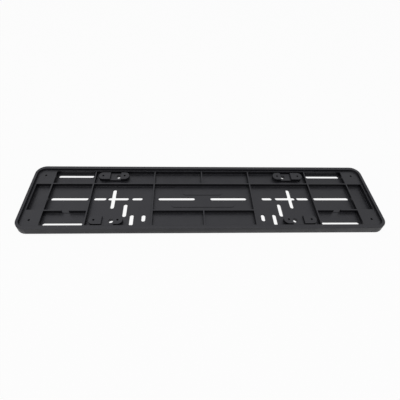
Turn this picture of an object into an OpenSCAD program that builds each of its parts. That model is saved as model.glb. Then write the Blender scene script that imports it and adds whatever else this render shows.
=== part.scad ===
/* [Plate] */
// Length of the number plate that the frame holds
plate_w = 520; // [490:1:550]
// Height of the number plate
plate_h = 110; // [106:0.5:125]
// Clearance between the plate and the rim at each end
end_gap = 1.4; // [0.4:0.1:2]
// Clearance between the plate and the rim along the long sides
side_gap = 0.6; // [0.2:0.1:1.5]

/* [Rim] */
// Width of the rim's top along the long sides
rim_long_w = 5.2; // [4:0.1:7]
// Width of the rim's top at the short sides
rim_end_w = 4.2; // [3.8:0.1:6]
// Height of the rim above the back face
rim_z = 11.8; // [11:0.1:14]
// Spread of the outer wall from its top to its foot
rim_draft = 0.4; // [0.1:0.1:1]
// Outer radius of the frame's corners
corner_r = 15.5; // [12:0.5:17]
// Radius of the recess in its corners
recess_r = 10; // [6:0.5:11]
// Rounding of the rim's outer top edge
edge_round = 0.7; // [0.3:0.1:2]
// Chamfer of the rim's inner top edge
inner_chamfer = 0.4; // [0.1:0.1:0.8]

/* [Seat] */
// Height of the seat that the plate lies on, above the back face
seat_z = 8.4; // [7.4:0.1:9.4]
// Width of the seat ledge, all round
ledge_w = 3; // [2.4:0.1:4.5]
// Length of the seat block at each end, from the rim to its inner face
end_l = 28; // [26.4:0.2:32]
// Distance of the corner pilot holes from the rim at the short sides
corner_hole_end = 12.7; // [10.5:0.1:14]
// Distance of the corner pilot holes from the rim along the long sides
corner_hole_side = 12.2; // [10.5:0.1:14]

/* [Shell] */
// Thickness of the floor
floor_t = 2.4; // [1.8:0.1:2.8]
// Thickness of the walls and skins round the hollows in the back
wall_t = 2; // [1.6:0.1:2.2]
// Radius of the tube round each pilot hole, seen from the back
tube_r = 3.4; // [2.8:0.1:4]

/* [Ribs] */
// Thickness of the ribs
rib_t = 1.8; // [1.4:0.1:2.4]
// Chamfer along the foot of the ribs and walls
foot = 0.2; // [0.1:0.1:1.2]
// Distance from the middle to the inner face of the ribs at the outer bays
outer_rib_x = 170; // [166:0.5:174]
// Distance from the middle to the inner face of the ribs at the centre bay
centre_rib_x = 75.2; // [70:0.2:79]
// Distance from the middle to the centre line of the long ribs
long_rib_y = 26.2; // [23:0.2:28]
// Width of the notches in the front long rib
notch_w = 10.8; // [6:0.2:16]
// Height of the rib that is left under a notch
notch_sill = 0.8; // [0.4:0.1:2]

/* [Slots] */
// Width of every slot
slot_w = 5.7; // [5:0.1:6.4]
// Gap between an outer slot and the seat block
outer_slot_gap = 2; // [1.4:0.1:6]
// Gap between an outer slot and the outer rib
outer_slot_rib_gap = 3.3; // [1.4:0.1:6]
// Gap between the long ledges and the slots that run along them
row_gap = 2.8; // [1.6:0.1:4.4]
// Length of the short slot next to the outer rib
short_slot_l = 19; // [14:0.5:20]
// Gap between the short slot and the outer rib
short_slot_gap = 3.1; // [1.6:0.1:4]
// Length of the cross slot's long arm
cross_l = 31.5; // [26:0.5:33]
// Length of the cross slot's arm from front to back
cross_d = 37.8; // [24:0.2:42]
// Distance of that arm from the middle of the long arm
cross_off = 7.5; // [4:0.1:9]
// Bridge between the short slot and the cross slot
cross_bridge = 2.6; // [2:0.1:3.6]
// Length of the slot on the centre line beside the cross slot
inner_slot_l = 16; // [12:0.5:18]
// Bridge between that slot and the cross slot
inner_bridge = 5.1; // [3:0.1:6]
// Distance from the middle to the inner end of the centre slots
centre_slot_in = 12; // [8:0.5:20]
// Gap between the outer end of the centre slots and the rib
centre_slot_gap = 6.7; // [3:0.1:12]

/* [Front slots] */
// Step from the cross slot's arm to the first slot that runs from front to back
first_step = 19.7; // [19:0.1:20.4]
// Distance from the centre line to its near end
first_y = 9.9; // [8:0.1:14]
// Length of the first slot
first_l = 24.2; // [18:0.2:24.6]
// Step from the first slot to the second
second_step = 11.3; // [10:0.1:13]
// Distance from the centre line to its near end
second_y = 29.8; // [27:0.2:34]
// Gap between its far end and the front ledge
second_gap = 3; // [2:0.1:6]
// Step from the second slot to the third
third_step = 17.3; // [14:0.1:18.4]
// Distance from the centre line to its near end
third_y = 30; // [27:0.2:33]
// Length of the third slot
third_l = 12.4; // [9:0.2:14]

/* [Screw blocks] */
// Radius of the round ends of a screw block
block_r = 7.2; // [6.9:0.1:7.6]
// Distance between the two pilot holes of a screw block
pilot_pitch = 34; // [31:0.2:36]
// Diameter of every pilot hole
pilot_d = 3.2; // [2:0.1:3.6]
// Depth of every pilot hole
pilot_depth = 7; // [4:0.1:7.2]
// Gap between a screw block and the outer rib
block_rib_gap = 4.3; // [3.4:0.1:5]
// Gap between a screw block and the long ledge
block_gap = 2.1; // [1.2:0.1:3]
// Diameter of the screw hole through a block
screw_d = 7; // [5.5:0.1:7.4]
// Distance from the inner pilot hole to the screw hole
screw_off = 10; // [9.4:0.1:10.6]
// Length of the lower step that holds the screw hole
step_l = 17; // [15.5:0.1:18.5]
// Distance from the inner pilot hole to the middle of the lower step
step_off = 14.3; // [13.8:0.1:15]
// Depth of the lower step below the seat
step_drop = 2.9; // [1.5:0.1:3.4]

/* [Raised fields] */
// Height of the two raised fields on the centre bay's floor
field_t = 0.6; // [0.2:0.1:0.8]
// Width of the raised fields from front to back
field_w = 9.6; // [7:0.2:11]
// Half length of the field behind the centre slots
back_field_x = 31; // [20:1:50]
// Half length of the field in front of the centre slots
front_field_x = 48.5; // [30:1:60]
// Distance from the centre line to the near edge of the back field
back_field_y = 7.4; // [5:0.1:10]
// Distance from the centre line to the near edge of the front field
front_field_y = 7; // [5:0.1:10]

/* [Hidden] */
charcoal = [0.2, 0.2, 0.21];
$fn = 96;
// A cut runs this far past the faces that it goes through
past = 1;
// What stands on the floor or meets a wall is rooted this deep in it
root = 1;
// Number of flats on a quarter of the rim's rounded edge
round_steps = 6;
// Angle of one such flat
round_step = 90 / round_steps;
// Half length and half height of the recess that the plate lies in
recess_x = plate_w / 2 + end_gap;
recess_y = plate_h / 2 + side_gap;
// Centres of the frame's outer corner arcs
arc_x = recess_x + rim_end_w - corner_r;
arc_y = recess_y + rim_long_w - corner_r;
// Half length and half depth of the well between the end blocks
well_x = recess_x - end_l;
well_y = recess_y - ledge_w;
// The pocket in the middle of each end block
pocket_in = well_x + rib_t;
pocket_out = recess_x - ledge_w;
pocket_y = long_rib_y - rib_t / 2;
// Centre lines of the ribs that run from front to back
outer_rib_mid = outer_rib_x + rib_t / 2;
centre_rib_mid = centre_rib_x + rib_t / 2;
// A notch is cut this far to either side of the rib's centre line
notch_y = rib_t / 2 + foot + past;
// The groove that lightens the rim and ledge from behind
groove_out = corner_r - wall_t;
groove_in = corner_r - min(rim_end_w, rim_long_w) - ledge_w + wall_t;
hollow_z = seat_z - wall_t;
// The outer bays and their slots
outer_bay_in = outer_rib_x + rib_t;
outer_bay_mid = (outer_bay_in + well_x) / 2;
outer_slot_in = outer_bay_in + outer_slot_rib_gap;
outer_slot_out = well_x - outer_slot_gap;
outer_slot_l = outer_slot_out - outer_slot_in;
outer_slot_x = (outer_slot_in + outer_slot_out) / 2;
row_y = well_y - row_gap - slot_w / 2;
// The slots on the centre line, from the outer rib inwards
short_slot_x = outer_rib_x - short_slot_gap - short_slot_l / 2;
cross_x = short_slot_x - short_slot_l / 2 - cross_bridge - cross_l / 2;
inner_slot_x = cross_x - cross_l / 2 - inner_bridge - inner_slot_l / 2;
centre_slot_out = centre_rib_x - centre_slot_gap;
centre_slot_l = centre_slot_out - centre_slot_in;
centre_slot_x = (centre_slot_in + centre_slot_out) / 2;
// The slots in front of the centre line, from the cross slot's arm inwards
first_x = cross_x + cross_off - first_step;
second_x = first_x - second_step;
third_x = second_x - third_step;
second_l = well_y - second_gap - second_y;
// The screw blocks
block_x = outer_rib_x - block_rib_gap - block_r - pilot_pitch / 2;
block_y = well_y - block_gap - block_r;
inner_pilot_x = block_x - pilot_pitch / 2;
outer_pilot_x = block_x + pilot_pitch / 2;
screw_x = inner_pilot_x + screw_off;
step_x = inner_pilot_x + step_off;
step_z = seat_z - step_drop;
screw_tube_r = screw_d / 2 + wall_t;
// Half depth and height of the hollow behind a screw block
block_hollow_y = block_r - wall_t;
block_hollow_z = step_z - wall_t;
// The corner pilot holes
corner_hole_x = recess_x - corner_hole_end;
corner_hole_y = recess_y - corner_hole_side;

// Section of the frame's outside, measured from the outer corner arc's centre
module outer_section() {
    rounded_edge = [for (a = [0 : round_step : 90])
        [corner_r - edge_round + edge_round * cos(a), rim_z - edge_round + edge_round * sin(a)]];
    polygon(concat([[0, 0], [corner_r + rim_draft, 0]], rounded_edge, [[0, rim_z]]));
}

// Section of the plate's recess with its top chamfer, measured from the recess arc's centre
module recess_section() {
    polygon([
        [0, seat_z],
        [recess_r, seat_z],
        [recess_r, rim_z - inner_chamfer],
        [recess_r + inner_chamfer + past, rim_z + past],
        [0, rim_z + past]
    ]);
}

// Carries a section round a rectangle of arc centres: four straight sides and four corners
module around(x, y) {
    for (turn = [0, 180]) {
        rotate([0, 0, turn]) {
            translate([-x, y, 0])
                rotate([90, 0, 90])
                    linear_extrude(2 * x) children();
            translate([x, y, 0])
                rotate([90, 0, 0])
                    linear_extrude(2 * y) children();
            translate([x, y, 0])
                rotate_extrude(angle = 90) children();
            translate([-x, y, 0])
                rotate([0, 0, 90])
                    rotate_extrude(angle = 90) children();
        }
    }
}

// The frame before it is hollowed, up to the rim's height
module blank() {
    around(arc_x, arc_y) outer_section();
    translate([-arc_x, -arc_y, 0]) cube([2 * arc_x, 2 * arc_y, rim_z]);
}

// The recess that the plate lies in, from the seat up
module recess() {
    x = recess_x - recess_r;
    y = recess_y - recess_r;
    around(x, y) recess_section();
    translate([-x, -y, seat_z]) cube([2 * x, 2 * y, rim_z - seat_z + past]);
}

// Section of a well of a given width, with its foot chamfers
module well_section(width) {
    half = width / 2;
    top = seat_z + past;
    polygon([
        [-half + foot, floor_t],
        [half - foot, floor_t],
        [half, floor_t + foot],
        [half, top],
        [-half, top],
        [-half, floor_t + foot]
    ]);
}

// A well between two ends and two sides, open at the top
module well(x0, x1, y0, y1) {
    translate([(x0 + x1) / 2, (y0 + y1) / 2, 0])
        intersection() {
            rotate([90, 0, 0]) linear_extrude(y1 - y0, center = true) well_section(x1 - x0);
            rotate([90, 0, 90]) linear_extrude(x1 - x0, center = true) well_section(y1 - y0);
        }
}

// Section of a rib with its foot chamfers
module rib_section() {
    half = rib_t / 2;
    polygon([
        [-half - foot, floor_t - root],
        [half + foot, floor_t - root],
        [half + foot, floor_t],
        [half, floor_t + foot],
        [half, seat_z],
        [-half, seat_z],
        [-half, floor_t + foot],
        [-half - foot, floor_t]
    ]);
}

// A rib that runs from front to back
module cross_rib(x, y0, y1) {
    translate([x, y1, 0]) rotate([90, 0, 0]) linear_extrude(y1 - y0) rib_section();
}

// A rib that runs along the plate
module long_rib(y, x0, x1) {
    translate([x0, y, 0]) rotate([90, 0, 90]) linear_extrude(x1 - x0) rib_section();
}

// Makes the same thing at both ends of the frame
module both_ends() {
    children();
    mirror([1, 0, 0]) children();
}

// Makes the same thing in all four quarters of the frame
module four_quarters() {
    both_ends() {
        children();
        mirror([0, 1, 0]) children();
    }
}

// The ribs that stiffen the floor and carry the plate
module ribs() {
    both_ends() {
        cross_rib(outer_rib_mid, -well_y - root, well_y + root);
        cross_rib(centre_rib_mid, -well_y - root, well_y + root);
        difference() {
            long_rib(-long_rib_y, outer_rib_mid, well_x + root);
            translate([outer_bay_mid - notch_w / 2, -long_rib_y - notch_y, floor_t + notch_sill])
                cube([notch_w, 2 * notch_y, seat_z]);
        }
    }
    long_rib(long_rib_y, -well_x - root, well_x + root);
    long_rib(-long_rib_y, -centre_rib_mid, centre_rib_mid);
    cross_rib(0, long_rib_y, well_y + root);
    cross_rib(0, -well_y - root, -long_rib_y);
}

// An upright oblong with round ends, between two x places
module oblong(x0, x1, y, r, z0, z1) {
    translate([x0, y - r, z0]) cube([x1 - x0, 2 * r, z1 - z0]);
    translate([x0, y, z0]) cylinder(r = r, h = z1 - z0);
    translate([x1, y, z0]) cylinder(r = r, h = z1 - z0);
}

// A screw block: an oblong at seat height with a lower step for the screw's head
module screw_block() {
    difference() {
        oblong(inner_pilot_x, outer_pilot_x, block_y, block_r, floor_t - root, seat_z);
        translate([step_x - step_l / 2, block_y - block_r - past, step_z])
            cube([step_l, 2 * block_r + 2 * past, seat_z]);
    }
}

// The two raised fields on the floor of the centre bay
module raised_fields() {
    r = field_w / 2;
    oblong(r - back_field_x, back_field_x - r, back_field_y + r, r, floor_t - root, floor_t + field_t);
    oblong(r - front_field_x, front_field_x - r, -front_field_y - r, r, floor_t - root, floor_t + field_t);
}

// Cuts a slot along the plate through the floor
module long_slot(x, y, l) {
    r = slot_w / 2;
    oblong(x - l / 2 + r, x + l / 2 - r, y, r, -past, floor_t + past);
}

// Cuts a slot from front to back through the floor
module cross_slot(x, near_y, l) {
    r = slot_w / 2;
    translate([x, 0, 0])
        rotate([0, 0, -90])
            oblong(near_y + r, near_y + l - r, 0, r, -past, floor_t + past);
}

// Every slot of one end
module slots() {
    for (y = [-row_y, 0, row_y]) long_slot(outer_slot_x, y, outer_slot_l);
    long_slot(short_slot_x, 0, short_slot_l);
    long_slot(cross_x, 0, cross_l);
    cross_slot(cross_x + cross_off, -cross_d / 2, cross_d);
    long_slot(inner_slot_x, 0, inner_slot_l);
    long_slot(centre_slot_x, 0, centre_slot_l);
    cross_slot(first_x, first_y, first_l);
    cross_slot(second_x, second_y, second_l);
    cross_slot(third_x, third_y, third_l);
}

// A blind pilot hole that opens at the seat
module pilot(x, y) {
    translate([x, y, seat_z - pilot_depth]) cylinder(d = pilot_d, h = pilot_depth + past);
}

// The pilot and screw holes of one quarter
module holes() {
    pilot(corner_hole_x, corner_hole_y);
    pilot(inner_pilot_x, block_y);
    pilot(outer_pilot_x, block_y);
    translate([screw_x, block_y, -past]) cylinder(d = screw_d, h = seat_z + past);
}

// The hollow behind the seat of one corner, with a tube left round its pilot hole
module corner_hollow() {
    x0 = well_x + wall_t;
    x1 = pocket_out - wall_t;
    y0 = pocket_y + wall_t;
    y1 = well_y - wall_t;
    difference() {
        translate([x0, y0, -past]) cube([x1 - x0, y1 - y0, hollow_z + past]);
        translate([corner_hole_x, corner_hole_y, -2 * past]) cylinder(r = tube_r, h = seat_z);
    }
}

// The hollow behind one screw block
module block_hollow() {
    difference() {
        translate([screw_x, block_y - block_hollow_y, -past])
            cube([outer_pilot_x - screw_x, 2 * block_hollow_y, block_hollow_z + past]);
        translate([screw_x, block_y, -2 * past]) cylinder(r = screw_tube_r, h = seat_z);
        translate([outer_pilot_x, block_y, -2 * past]) cylinder(r = tube_r, h = seat_z);
    }
}

// The groove behind the rim and the ledge, all round
module groove() {
    around(arc_x, arc_y)
        translate([groove_in, -past]) square([groove_out - groove_in, hollow_z + past]);
}

// The whole moulding
module plate_frame() {
    color(charcoal)
        difference() {
            union() {
                difference() {
                    blank();
                    recess();
                    well(-well_x, well_x, -well_y, well_y);
                    both_ends() well(pocket_in, pocket_out, -pocket_y, pocket_y);
                }
                ribs();
                four_quarters() screw_block();
                raised_fields();
            }
            both_ends() slots();
            four_quarters() {
                holes();
                corner_hollow();
                block_hollow();
            }
            groove();
        }
}

plate_frame();
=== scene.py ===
from math import cos, radians, sin

import bpy
from bpy.props import FloatProperty, FloatVectorProperty, PointerProperty
from mathutils import Matrix, Vector


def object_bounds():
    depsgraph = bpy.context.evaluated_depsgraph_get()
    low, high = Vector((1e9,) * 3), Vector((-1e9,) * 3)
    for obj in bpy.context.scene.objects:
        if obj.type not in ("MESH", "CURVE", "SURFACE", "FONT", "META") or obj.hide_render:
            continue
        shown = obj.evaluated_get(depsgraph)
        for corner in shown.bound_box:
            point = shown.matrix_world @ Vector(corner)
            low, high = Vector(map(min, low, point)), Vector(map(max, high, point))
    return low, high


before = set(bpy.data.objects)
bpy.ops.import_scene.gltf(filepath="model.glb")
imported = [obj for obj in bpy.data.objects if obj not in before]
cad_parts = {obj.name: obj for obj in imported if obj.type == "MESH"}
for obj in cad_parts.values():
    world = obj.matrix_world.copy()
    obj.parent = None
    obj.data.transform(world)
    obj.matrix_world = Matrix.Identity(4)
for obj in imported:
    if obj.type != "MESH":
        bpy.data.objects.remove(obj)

bl_info = {
    "name": "Number plate holder",
    "version": (1, 0, 0),
    "blender": (4, 5, 0),
    "location": "View3D > Sidebar > Plate holder",
    "description": "Gives the moulded number plate holder its plastic finish and sets its stage",
    "category": "Object",
}

MOULDING = "plate_frame"
SLOT = "charcoal_plastic"
IMAGE_PX = 400
SENSOR_MM = 36.0
PLASTIC_IOR = 1.49
PATCH_SIZE = 0.06          # slow drift of the colour, in metres
SPECK_SIZE = 0.0022        # fine drift of the colour
PATCH_SHARE = 0.65
SPECK_SHARE = 0.35
POLISH_SIZE = 0.02         # drift of the roughness
NOISE_ROUGHNESS = 0.55
NOISE_LOW, NOISE_HIGH = 0.25, 0.75
GRAIN_SMOOTHNESS = 0.8
FINE_GRAIN_SIZE = 0.6      # as a share of the grain's size
FINE_GRAIN_HEIGHT = 0.7    # as a share of the grain's depth
WELD_DISTANCE = 0.00001
SHARP_ANGLE = radians(35.0)
EDGE_STEPS = 2
FLOOR_GAP = 0.0001
SOFTBOX_PLACE = (0.0, -0.35, 1.5)
SOFTBOX_WIDTH, SOFTBOX_DEPTH = 1.8, 1.2
cad_low, cad_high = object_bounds()


class MouldingSettings(bpy.types.PropertyGroup):
    """Finish of the moulded plastic"""

    colour: FloatVectorProperty(
        name="Plastic colour",
        description="Colour of the dyed plastic",
        subtype="COLOR",
        size=3,
        min=0.0,
        max=1.0,
        default=(0.005, 0.005, 0.0065),
    )
    colour_change: FloatProperty(
        name="Colour change",
        description="How far the colour drifts over the moulding, as a share of the colour",
        subtype="FACTOR",
        min=0.0,
        max=1.0,
        default=0.12,
    )
    gloss_tint: FloatVectorProperty(
        name="Gloss tint",
        description="Colour that the gloss gives to what it reflects",
        subtype="COLOR",
        size=3,
        min=0.0,
        max=1.0,
        default=(0.93, 0.93, 1.0),
    )
    roughness: FloatProperty(
        name="Roughness",
        description="Roughness of the grained faces",
        subtype="FACTOR",
        min=0.0,
        max=1.0,
        default=0.42,
    )
    roughness_change: FloatProperty(
        name="Roughness change",
        description="How far the roughness drifts over the moulding",
        subtype="FACTOR",
        min=0.0,
        max=0.5,
        default=0.08,
    )
    grain_size: FloatProperty(
        name="Grain size",
        description="Size of the fine grain that the mould leaves",
        unit="LENGTH",
        min=0.0001,
        max=0.005,
        default=0.0005,
    )
    grain_depth: FloatProperty(
        name="Grain depth",
        description="Depth of the fine grain",
        unit="LENGTH",
        min=0.0,
        max=0.0005,
        default=0.00003,
    )
    edge_radius: FloatProperty(
        name="Edge radius",
        description="Rounding of the moulding's sharp edges",
        unit="LENGTH",
        min=0.0,
        max=0.001,
        default=0.0002,
    )


class StageSettings(bpy.types.PropertyGroup):
    """Camera, floor and light"""

    lens_px: FloatProperty(
        name="Focal length",
        description="Focal length of the camera, in pixels of a picture 400 wide",
        min=50.0,
        default=307.13,
    )
    camera_place: FloatVectorProperty(
        name="Camera",
        description="Place of the camera",
        subtype="TRANSLATION",
        unit="LENGTH",
        size=3,
        default=(-0.03353, -0.30008, 0.37272),
    )
    pitch: FloatProperty(
        name="Pitch",
        description="How far the camera looks down",
        unit="ROTATION",
        default=radians(49.42),
    )
    yaw: FloatProperty(
        name="Yaw",
        description="How far the camera turns to the right",
        unit="ROTATION",
        default=radians(3.72),
    )
    roll: FloatProperty(
        name="Roll",
        description="How far the camera leans",
        unit="ROTATION",
        default=radians(2.89),
    )
    centre_px: FloatVectorProperty(
        name="Centre of view",
        description="Where the camera's axis meets the picture, in pixels from its top left corner",
        size=2,
        default=(194.03, 190.76),
    )
    floor_colour: FloatVectorProperty(
        name="Floor colour",
        description="Colour of the pale floor",
        subtype="COLOR",
        size=3,
        min=0.0,
        max=1.0,
        default=(0.85, 0.85, 0.85),
    )
    floor_glow: FloatProperty(
        name="Floor glow",
        description="Share of plain white in what the camera sees of the floor",
        subtype="FACTOR",
        min=0.0,
        max=1.0,
        default=0.95,
    )
    floor_gloss: FloatProperty(
        name="Floor in the gloss",
        description="Share of plain white in what the gloss reflects of the floor",
        subtype="FACTOR",
        min=0.0,
        max=1.0,
        default=0.6,
    )
    floor_size: FloatProperty(
        name="Floor size",
        description="Length of the floor's side",
        unit="LENGTH",
        min=1.0,
        default=12.0,
    )
    softbox_power: FloatProperty(
        name="Softbox",
        description="Power of the wide lamp overhead",
        unit="POWER",
        min=0.0,
        default=9.0,
    )
    sky_strength: FloatProperty(
        name="Room light",
        description="Strength of the even light of the room",
        min=0.0,
        default=0.3,
    )
    gloss_light: FloatProperty(
        name="Light in the gloss",
        description="Brightness of the room at eye level, as the gloss reflects it",
        default=0.42,
    )
    left_gain: FloatProperty(
        name="Left gain",
        description="How much brighter that reflection is on the left than in the middle",
        default=0.22,
    )
    top_gain: FloatProperty(
        name="Top gain",
        description="How much brighter that reflection is overhead than at eye level",
        default=1.0,
    )


def link(tree, source, target):
    """Joins an output socket to an input socket."""
    tree.links.new(source, target)


def node(tree, kind, **inputs):
    """Adds a node and sets its inputs by name; spaces in a name are written as underscores."""
    made = tree.nodes.new(kind)
    for name, value in inputs.items():
        made.inputs[name.replace("_", " ")].default_value = value
    return made


def new_tree(name):
    """A material with an empty node tree, and its output node."""
    material = bpy.data.materials.new(name)
    material.use_nodes = True
    tree = material.node_tree
    tree.nodes.clear()
    return material, tree, tree.nodes.new("ShaderNodeOutputMaterial")


def math(tree, operation, a, b):
    """A Math node on two values, each a number or an output socket."""
    made = tree.nodes.new("ShaderNodeMath")
    made.operation = operation
    for socket, value in zip(made.inputs, (a, b)):
        if isinstance(value, (int, float)):
            socket.default_value = value
        else:
            link(tree, value, socket)
    return made.outputs[0]


def drift(tree, place, size, detail=3.0):
    """Slow noise over the moulding, from 0 to 1, with patches of a given size."""
    noise = node(tree, "ShaderNodeTexNoise", Scale=1.0 / size, Detail=detail, Roughness=NOISE_ROUGHNESS)
    link(tree, place, noise.inputs["Vector"])
    return noise.outputs["Fac"]


def shade_range(tree, value, low, high):
    """Maps the range where noise mostly lies onto low to high."""
    made = node(
        tree, "ShaderNodeMapRange", From_Min=NOISE_LOW, From_Max=NOISE_HIGH, To_Min=low, To_Max=high
    )
    made.clamp = True
    link(tree, value, made.inputs["Value"])
    return made.outputs["Result"]


def charcoal_plastic(settings):
    """Dark dyed plastic with the fine grain of a spark-eroded mould."""
    material, tree, output = new_tree("charcoal_plastic")
    shader = node(
        tree, "ShaderNodeBsdfPrincipled", IOR=PLASTIC_IOR, Specular_Tint=(*settings.gloss_tint, 1.0)
    )
    link(tree, shader.outputs["BSDF"], output.inputs["Surface"])
    place = tree.nodes.new("ShaderNodeTexCoord").outputs["Object"]

    patches = math(tree, "MULTIPLY", drift(tree, place, PATCH_SIZE), PATCH_SHARE)
    specks = math(tree, "MULTIPLY", drift(tree, place, SPECK_SIZE), SPECK_SHARE)
    amount = math(tree, "ADD", patches, specks)
    change = settings.colour_change
    tone = shade_range(tree, amount, 1.0 - change, 1.0 + change)
    tint = node(tree, "ShaderNodeVectorMath")
    tint.operation = "SCALE"
    tint.inputs[0].default_value = settings.colour
    link(tree, tone, tint.inputs["Scale"])
    link(tree, tint.outputs["Vector"], shader.inputs["Base Color"])

    polish = drift(tree, place, POLISH_SIZE)
    spread = settings.roughness_change
    level = shade_range(tree, polish, settings.roughness - spread, settings.roughness + spread)
    link(tree, level, shader.inputs["Roughness"])

    grain = node(tree, "ShaderNodeTexVoronoi", Scale=1.0 / settings.grain_size)
    grain.feature = "SMOOTH_F1"
    grain.inputs["Smoothness"].default_value = GRAIN_SMOOTHNESS
    link(tree, place, grain.inputs["Vector"])
    fine = drift(tree, place, settings.grain_size * FINE_GRAIN_SIZE, detail=2.0)
    fine = math(tree, "MULTIPLY", fine, FINE_GRAIN_HEIGHT)
    height = math(tree, "ADD", grain.outputs["Distance"], fine)
    bump = node(tree, "ShaderNodeBump", Strength=1.0, Distance=settings.grain_depth)
    link(tree, height, bump.inputs["Height"])
    link(tree, bump.outputs["Normal"], shader.inputs["Normal"])
    return material


def soften_edges(moulding, radius):
    """Rounds the moulding's sharp edges, as a mould does, without touching its mesh."""
    weld = moulding.modifiers.new("weld", "WELD")
    weld.merge_threshold = WELD_DISTANCE
    bevel = moulding.modifiers.new("edge", "BEVEL")
    bevel.width = radius
    bevel.segments = EDGE_STEPS
    bevel.limit_method = "ANGLE"
    bevel.angle_limit = SHARP_ANGLE
    bevel.use_clamp_overlap = True
    bevel.harden_normals = False
    bevel.miter_outer = "MITER_ARC"


class FinishMoulding(bpy.types.Operator):
    """Give the moulding its grained charcoal plastic and soft edges"""

    bl_idname = "plate_holder.moulding"
    bl_label = "Finish the moulding"

    def execute(self, context):
        settings = context.scene.plate_moulding
        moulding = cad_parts[MOULDING]
        material = charcoal_plastic(settings)
        moulding.data.materials.clear()
        moulding.data.materials.append(material)
        soften_edges(moulding, settings.edge_radius)
        return {"FINISHED"}


def area_light(name, place, aim, width, height, power):
    """A soft lamp at place that looks at aim."""
    lamp = bpy.data.lights.new(name, "AREA")
    lamp.shape = "RECTANGLE"
    lamp.size = width
    lamp.size_y = height
    lamp.energy = power
    holder = bpy.data.objects.new(name, lamp)
    bpy.context.scene.collection.objects.link(holder)
    holder.location = place
    holder.rotation_euler = (Vector(aim) - Vector(place)).to_track_quat("-Z", "Y").to_euler()


def by_ray(tree, eye, gloss, other):
    """One value for rays from the camera, one for reflected or refracted rays, and one for the rest."""
    path = tree.nodes.new("ShaderNodeLightPath")
    mirrored = math(tree, "MAXIMUM", path.outputs["Is Glossy Ray"], path.outputs["Is Transmission Ray"])
    value = choose(tree, mirrored, gloss, other)
    return choose(tree, path.outputs["Is Camera Ray"], eye, value)


def choose(tree, test, yes, no):
    """The value yes where test is 1, and no where it is 0."""
    return math(tree, "ADD", no, math(tree, "MULTIPLY", test, math(tree, "SUBTRACT", yes, no)))


def floor_material(settings):
    """Pale floor, nearly white to the camera and the gloss, with the object's shadow on it."""
    material, tree, output = new_tree("pale_floor")
    matt = node(tree, "ShaderNodeBsdfDiffuse", Color=(*settings.floor_colour, 1.0))
    white = node(tree, "ShaderNodeEmission", Strength=1.0)
    blend = tree.nodes.new("ShaderNodeMixShader")
    share = by_ray(tree, settings.floor_glow, settings.floor_gloss, 0.0)
    link(tree, share, blend.inputs["Fac"])
    link(tree, matt.outputs["BSDF"], blend.inputs[1])
    link(tree, white.outputs["Emission"], blend.inputs[2])
    link(tree, blend.outputs["Shader"], output.inputs["Surface"])
    return material


def room_light(settings):
    """Light from all round: white to the camera, and brighter overhead and on the left to the gloss."""
    world = bpy.data.worlds.new("room")
    world.use_nodes = True
    tree = world.node_tree
    tree.nodes.clear()
    output = tree.nodes.new("ShaderNodeOutputWorld")
    white = node(tree, "ShaderNodeBackground", Color=(1.0, 1.0, 1.0, 1.0))
    way = tree.nodes.new("ShaderNodeSeparateXYZ")
    link(tree, tree.nodes.new("ShaderNodeTexCoord").outputs["Generated"], way.inputs["Vector"])
    sideways = math(tree, "MULTIPLY", way.outputs["X"], -settings.left_gain)
    height = math(tree, "MAXIMUM", way.outputs["Z"], 0.0)
    upwards = math(tree, "MULTIPLY", height, settings.top_gain)
    gloss = math(tree, "ADD", settings.gloss_light, math(tree, "ADD", sideways, upwards))
    link(tree, by_ray(tree, 1.0, gloss, settings.sky_strength), white.inputs["Strength"])
    link(tree, white.outputs["Background"], output.inputs["Surface"])
    bpy.context.scene.world = world


def lay_floor(settings):
    """A wide flat floor just under the moulding."""
    half = settings.floor_size / 2
    mesh = bpy.data.meshes.new("floor")
    corners = [(-half, -half, 0.0), (half, -half, 0.0), (half, half, 0.0), (-half, half, 0.0)]
    mesh.from_pydata(corners, [], [(0, 1, 2, 3)])
    floor = bpy.data.objects.new("floor", mesh)
    bpy.context.scene.collection.objects.link(floor)
    floor.location.z = cad_low.z - FLOOR_GAP
    mesh.materials.append(floor_material(settings))


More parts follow.
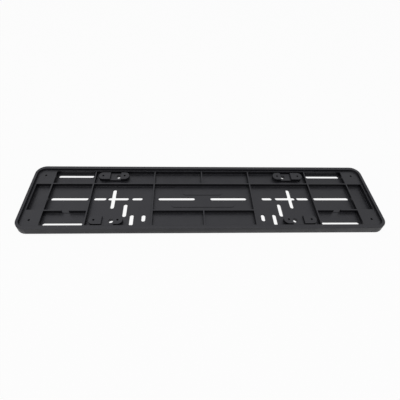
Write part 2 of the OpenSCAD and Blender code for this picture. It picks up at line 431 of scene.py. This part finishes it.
def place_camera(settings):
    """A camera where the photograph was taken, turned by pitch, yaw and roll."""
    forward = Vector((
        sin(settings.yaw) * cos(settings.pitch),
        cos(settings.yaw) * cos(settings.pitch),
        -sin(settings.pitch),
    ))
    level_right = Vector((cos(settings.yaw), -sin(settings.yaw), 0.0))
    level_up = level_right.cross(forward)
    right = level_right * cos(settings.roll) + level_up * sin(settings.roll)
    up = level_up * cos(settings.roll) - level_right * sin(settings.roll)
    lens = bpy.data.cameras.new("camera")
    lens.sensor_width = SENSOR_MM
    lens.lens = settings.lens_px * SENSOR_MM / IMAGE_PX
    lens.shift_x = (IMAGE_PX / 2 - settings.centre_px[0]) / IMAGE_PX
    lens.shift_y = (settings.centre_px[1] - IMAGE_PX / 2) / IMAGE_PX
    camera = bpy.data.objects.new("camera", lens)
    bpy.context.scene.collection.objects.link(camera)
    turn = Matrix((right, up, -forward)).transposed()
    camera.matrix_world = Matrix.Translation(settings.camera_place) @ turn.to_4x4()
    bpy.context.scene.camera = camera


class SetStage(bpy.types.Operator):
    """Place the camera, lay the pale floor, hang the softbox and set the room light"""

    bl_idname = "plate_holder.stage"
    bl_label = "Set the stage"

    def execute(self, context):
        settings = context.scene.plate_stage
        place_camera(settings)
        lay_floor(settings)
        room_light(settings)
        middle = (cad_low + cad_high) / 2
        area_light(
            "softbox", SOFTBOX_PLACE, middle, SOFTBOX_WIDTH, SOFTBOX_DEPTH, settings.softbox_power
        )
        context.scene.view_settings.view_transform = "Standard"
        return {"FINISHED"}


class PlateHolderPanel(bpy.types.Panel):
    """Lists the settings and steps of the number plate holder"""

    bl_idname = "VIEW3D_PT_plate_holder"
    bl_label = "Number plate holder"
    bl_space_type = "VIEW_3D"
    bl_region_type = "UI"
    bl_category = "Plate holder"

    def draw(self, context):
        for settings, step in (
            (context.scene.plate_moulding, FinishMoulding),
            (context.scene.plate_stage, SetStage),
        ):
            box = self.layout.box()
            for name in settings.__annotations__:
                box.prop(settings, name)
            box.operator(step.bl_idname)


CLASSES = (
    MouldingSettings,
    StageSettings,
    FinishMoulding,
    SetStage,
    PlateHolderPanel,
)


def register():
    """Registers the classes and their settings."""
    for cls in CLASSES:
        bpy.utils.register_class(cls)
    bpy.types.Scene.plate_moulding = PointerProperty(type=MouldingSettings)
    bpy.types.Scene.plate_stage = PointerProperty(type=StageSettings)


def unregister():
    """Takes the settings and classes away again."""
    del bpy.types.Scene.plate_stage
    del bpy.types.Scene.plate_moulding
    for cls in reversed(CLASSES):
        bpy.utils.unregister_class(cls)


def main():
    """Runs every step in order."""
    register()
    bpy.ops.plate_holder.moulding()
    bpy.ops.plate_holder.stage()


if __name__ == "__main__":
    main()
